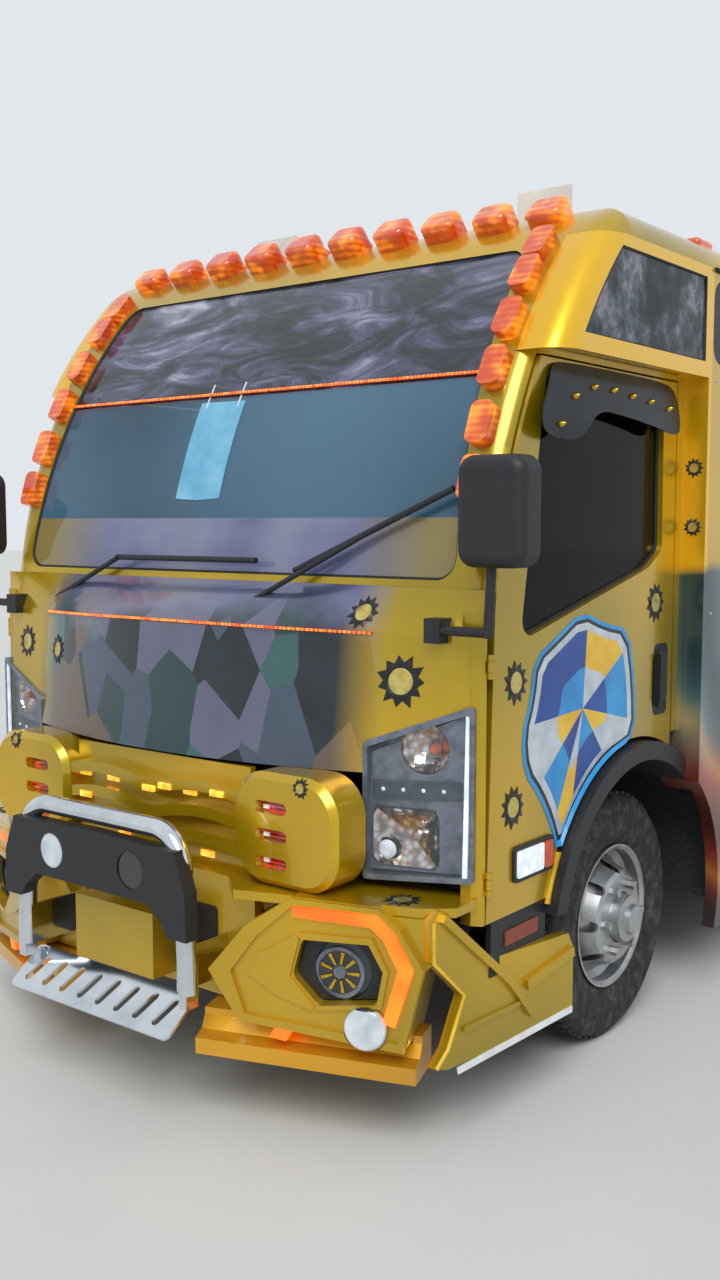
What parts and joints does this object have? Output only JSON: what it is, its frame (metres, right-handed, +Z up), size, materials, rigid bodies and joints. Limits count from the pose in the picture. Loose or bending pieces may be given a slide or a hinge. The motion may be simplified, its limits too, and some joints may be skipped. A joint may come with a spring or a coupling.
{
  "type": "minibus",
  "caption": "Coach-built minibus on a light truck chassis: brow over the cab, arched windscreen, lamp pods in the bumper, bull bar, steered front and twin rear wheels, opening doors.",
  "frame": {"origin": "on the ground under the middle of the vehicle's length and width", "axes": "+Z up; -Y towards the nose; +X towards the vehicle's left-hand side"},
  "size_m": [2.366, 7.8, 2.7699],
  "materials": {
    "body_paint": "glossy gold-olive coach paint",
    "black_plastic": "black moulded plastic",
    "trim_plastic": "grey interior lining",
    "bright_steel": "polished tube and plate",
    "wheel_steel": "silver-painted pressed steel",
    "tyre_rubber": "worn black rubber",
    "clear_glass": "clear glass",
    "smoked_glass": "dark tinted glass",
    "lamp_white": "clear lens over a bright bowl",
    "lamp_amber": "amber lens",
    "lamp_red": "red lens",
    "chassis_paint": "dusty black chassis paint",
    "casting": "bare casting",
    "exhaust_steel": "heat-dulled steel",
    "seat_fabric": "dark woven seat cover",
    "blank_plate": "blank white plate"
  },
  "bodies": {
    "body": {"roof": "body_paint", "side_left": "body_paint", "side_right": "body_paint", "rear_wall": "body_paint", "windscreen_frame": "body_paint", "cab_frame": "body_paint", "cab_front": "body_paint", "front_bumper": "body_paint", "lip_and_skirts": "body_paint", "grille": "body_paint", "rear_bumper": "body_paint", "arch_flares": "black_plastic", "bar_panel": "black_plastic", "headlamp_housings": "black_plastic", "mirrors": "black_plastic", "wipers": "black_plastic", "dashboard": "trim_plastic", "floor": "trim_plastic", "bull_bar": "bright_steel", "windscreen": "clear_glass", "headlamp_covers": "clear_glass", "saloon_glass": "smoked_glass", "fog_and_spot_lamps": "lamp_white", "marker_lamps": "lamp_amber", "red_lamps": "lamp_red", "chassis_frame": "chassis_paint", "leaf_springs": "chassis_paint", "front_axle": "chassis_paint", "rear_axle": "chassis_paint", "propeller_shaft": "chassis_paint", "fuel_tank": "chassis_paint", "engine": "casting", "exhaust": "exhaust_steel", "seats": "seat_fabric", "roof_sign_plates": "blank_plate"},
    "knuckle_left": {"knuckle_left": "chassis_paint"},
    "knuckle_right": {"knuckle_right": "chassis_paint"},
    "tie_rod": {"tie_rod": "chassis_paint"},
    "wheel_front_left": {"wheel_front_left": "wheel_steel", "tyre_front_left": "tyre_rubber"},
    "wheel_front_right": {"wheel_front_right": "wheel_steel", "tyre_front_right": "tyre_rubber"},
    "wheel_rear_left": {"wheel_rear_left": "wheel_steel", "tyres_rear_left": "tyre_rubber"},
    "wheel_rear_right": {"wheel_rear_right": "wheel_steel", "tyres_rear_right": "tyre_rubber"},
    "cab_door_left": {"cab_door_left": "body_paint", "cab_door_glass_left": "smoked_glass"},
    "cab_door_right": {"cab_door_right": "body_paint", "cab_door_glass_right": "smoked_glass"},
    "entry_door": {"entry_door": "body_paint", "entry_door_glass": "smoked_glass"},
    "emergency_door": {"emergency_door": "body_paint", "emergency_door_glass": "smoked_glass"},
    "boot_lid": {"boot_lid": "body_paint"}
  },
  "joints": [
    {"name": "steer_left", "type": "hinge", "parent": "body", "child": "knuckle_left", "pos_m": [0.7, -2.492, 0.402], "axis": [0, 0, 1], "range_deg": [-35, 35]},
    {"name": "steer_right", "type": "hinge", "parent": "body", "child": "knuckle_right", "pos_m": [-0.7, -2.492, 0.402], "axis": [0, 0, 1], "range_deg": [-35, 35]},
    {"name": "tie_rod_pivot", "type": "hinge", "parent": "knuckle_left", "child": "tie_rod", "pos_m": [0.7, -2.292, 0.309], "axis": [0, 0, 1], "range_deg": [-35, 35]},
    {"name": "wheel_front_left_spin", "type": "hinge", "parent": "knuckle_left", "child": "wheel_front_left", "pos_m": [0.84, -2.492, 0.402], "axis": [1, 0, 0], "continuous": true},
    {"name": "wheel_front_right_spin", "type": "hinge", "parent": "knuckle_right", "child": "wheel_front_right", "pos_m": [-0.84, -2.492, 0.402], "axis": [1, 0, 0], "continuous": true},
    {"name": "wheel_rear_left_spin", "type": "hinge", "parent": "body", "child": "wheel_rear_left", "pos_m": [0.825, 1.683, 0.402], "axis": [1, 0, 0], "continuous": true},
    {"name": "wheel_rear_right_spin", "type": "hinge", "parent": "body", "child": "wheel_rear_right", "pos_m": [-0.825, 1.683, 0.402], "axis": [1, 0, 0], "continuous": true},
    {"name": "cab_door_left_hinge", "type": "hinge", "parent": "body", "child": "cab_door_left", "pos_m": [1.02, -3.368, 1.3], "axis": [0, 0, -1], "range_deg": [0, 70]},
    {"name": "cab_door_right_hinge", "type": "hinge", "parent": "body", "child": "cab_door_right", "pos_m": [-1.02, -3.368, 1.3], "axis": [0, 0, 1], "range_deg": [0, 70]},
    {"name": "entry_door_hinge", "type": "hinge", "parent": "body", "child": "entry_door", "pos_m": [1.105, -1.944, 1.2], "axis": [0, 0, -1], "range_deg": [0, 100]},
    {"name": "emergency_door_hinge", "type": "hinge", "parent": "body", "child": "emergency_door", "pos_m": [-1.105, 2.471, 1.5], "axis": [0, 0, 1], "range_deg": [0, 120]},
    {"name": "boot_lid_hinge", "type": "hinge", "parent": "body", "child": "boot_lid", "pos_m": [0, 3.84, 1.287], "axis": [1, 0, 0], "range_deg": [0, 90]}
  ],
  "couplings": [
    {"joint": "steer_right", "follows": "steer_left", "ratio": 1},
    {"joint": "tie_rod_pivot", "follows": "steer_left", "ratio": -1}
  ]
}
